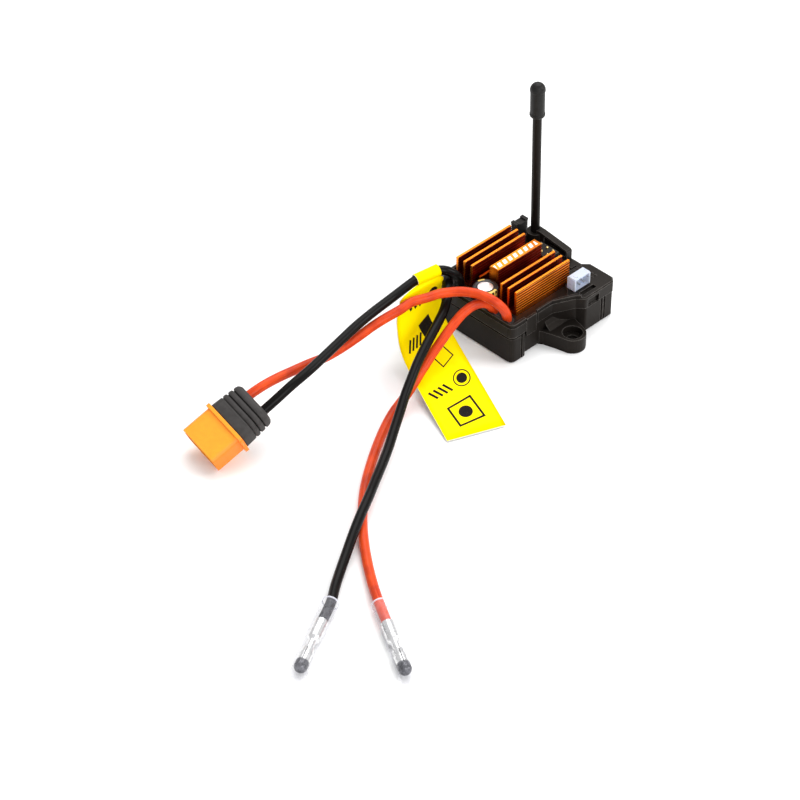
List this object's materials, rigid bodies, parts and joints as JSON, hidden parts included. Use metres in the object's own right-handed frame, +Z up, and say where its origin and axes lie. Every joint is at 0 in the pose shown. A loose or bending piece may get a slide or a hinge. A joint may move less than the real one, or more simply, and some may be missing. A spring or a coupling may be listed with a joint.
{
  "type": "electronic speed controller",
  "caption": "Brushed-motor electronic speed controller with finned heatsink, whip antenna, silicone leads, battery plug and bullet terminals.",
  "frame": {"origin": "on the floor under the middle of the case, tabs included", "axes": "+Z up, -Y towards the lead side of the case, +X towards the fan socket side"},
  "size_m": [0.1266, 0.187, 0.073],
  "materials": {
    "case_plastic": "fine matt moulded texture",
    "cover_plastic": "fine matt moulded texture",
    "seal_rubber": "matt",
    "orange_anodised": "orange anodised, fine machined lines",
    "steel": "plain",
    "pad": "matt",
    "board": "green solder mask",
    "chip": "matt",
    "tin": "bright",
    "capacitor_film": "shrink film with a pale stripe",
    "socket_nylon": "milky translucent",
    "gold": "gold plated",
    "header_plastic": "matt",
    "bind_plastic": "matt, ridged",
    "tube_plastic": "satin",
    "cap_rubber": "satin",
    "wire_jacket": "plain",
    "silicone_red": "satin silicone",
    "silicone_black": "satin silicone",
    "plug_orange": "satin moulded nylon",
    "boot_grey": "matt soft moulding",
    "clear_vinyl": "clear film",
    "tag_yellow": "yellow coated label with plain black shapes"
  },
  "bodies": {
    "controller": {"case_tub": "case_plastic", "top_cover": "cover_plastic", "case_seal": "seal_rubber", "heatsink": "orange_anodised", "heatsink_screws": "steel", "thermal_pad": "pad", "circuit_board": "board", "power_transistors": "chip", "control_chips": "chip", "supply_coil": "chip", "solder_posts": "tin", "capacitor_can": "tin", "capacitor_sleeve": "capacitor_film", "fan_socket": "socket_nylon", "fan_pins": "gold", "header_base": "header_plastic", "header_pins": "gold", "antenna_wire": "wire_jacket", "collar_screw": "steel", "lead_grommets": "seal_rubber", "battery_lead_red": "silicone_red", "battery_lead_black": "silicone_black", "motor_lead_red": "silicone_red", "motor_lead_black": "silicone_black", "plug_housing": "plug_orange", "plug_boot": "boot_grey", "plug_contacts": "gold", "red_bullet": "tin", "black_bullet": "tin", "lead_tag": "tag_yellow"},
    "bind_plug": {"bind_plug": "bind_plastic", "bind_plug_clip": "gold"},
    "antenna_tube": {"antenna_tube": "tube_plastic"},
    "antenna_cap": {"antenna_cap": "cap_rubber"},
    "red_sleeve": {"red_sleeve": "clear_vinyl"},
    "black_sleeve": {"black_sleeve": "clear_vinyl"}
  },
  "joints": [
    {"name": "bind_plug_pull", "type": "slide", "parent": "controller", "child": "bind_plug", "axis": [0, 0, 1], "range_m": [0, 0.008]},
    {"name": "antenna_slide", "type": "slide", "parent": "controller", "child": "antenna_tube", "axis": [-0.0099, -0.0099, 0.9999], "range_m": [0, 0.008]},
    {"name": "antenna_cap_pull", "type": "slide", "parent": "antenna_tube", "child": "antenna_cap", "axis": [-0.0099, -0.0099, 0.9999], "range_m": [0, 0.014]},
    {"name": "red_sleeve_slide", "type": "slide", "parent": "controller", "child": "red_sleeve", "axis": [0.874, -0.4859, 0], "range_m": [0, 0.03]},
    {"name": "black_sleeve_slide", "type": "slide", "parent": "controller", "child": "black_sleeve", "axis": [0.4716, -0.8818, 0], "range_m": [0, 0.03]}
  ]
}
